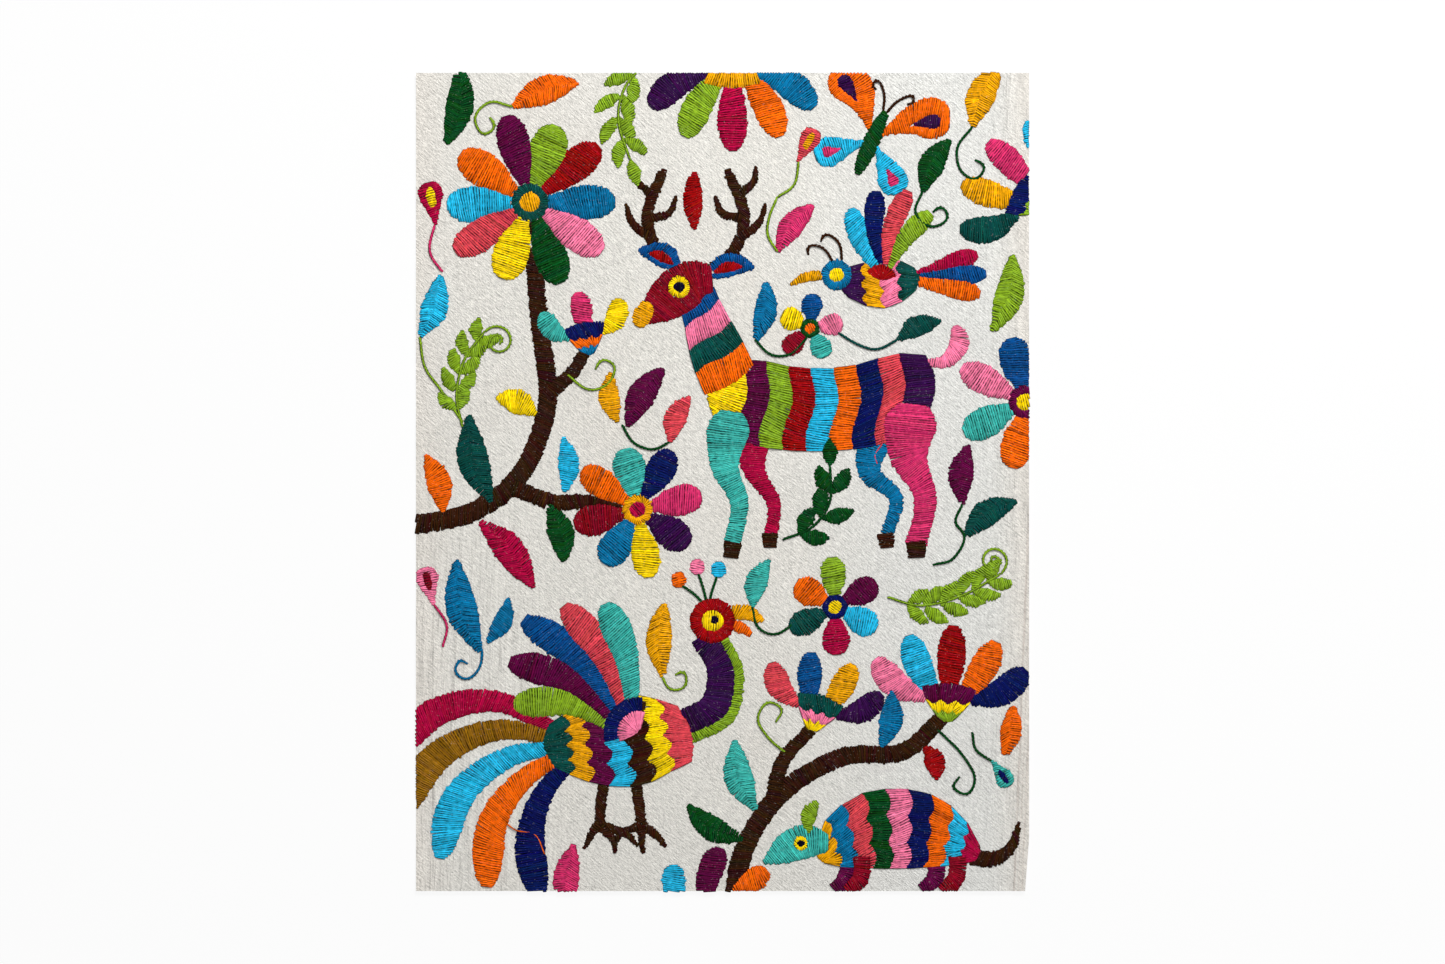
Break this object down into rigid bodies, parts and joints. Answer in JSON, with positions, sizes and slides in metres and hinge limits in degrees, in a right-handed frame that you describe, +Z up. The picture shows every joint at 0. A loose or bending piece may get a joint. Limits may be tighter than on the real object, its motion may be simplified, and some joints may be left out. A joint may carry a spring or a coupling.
{
  "type": "embroidered cotton cloth",
  "caption": "Flat cut length of off-white cotton with a narrow side hem and dense satin-stitch folk embroidery of animals, flowers and leaves.",
  "frame": {"origin": "centre of the underside of the flat cloth", "axes": "+Z up out of the embroidered face, +Y along the longer side towards the upper edge, +X to the right as the embroidery is read"},
  "size_m": [0.2452, 0.3272, 0.002],
  "materials": {
    "cotton": "matte plain-weave cotton with raised cotton floss"
  },
  "bodies": {
    "root": {"cloth": "cotton"}
  },
  "joints": []
}
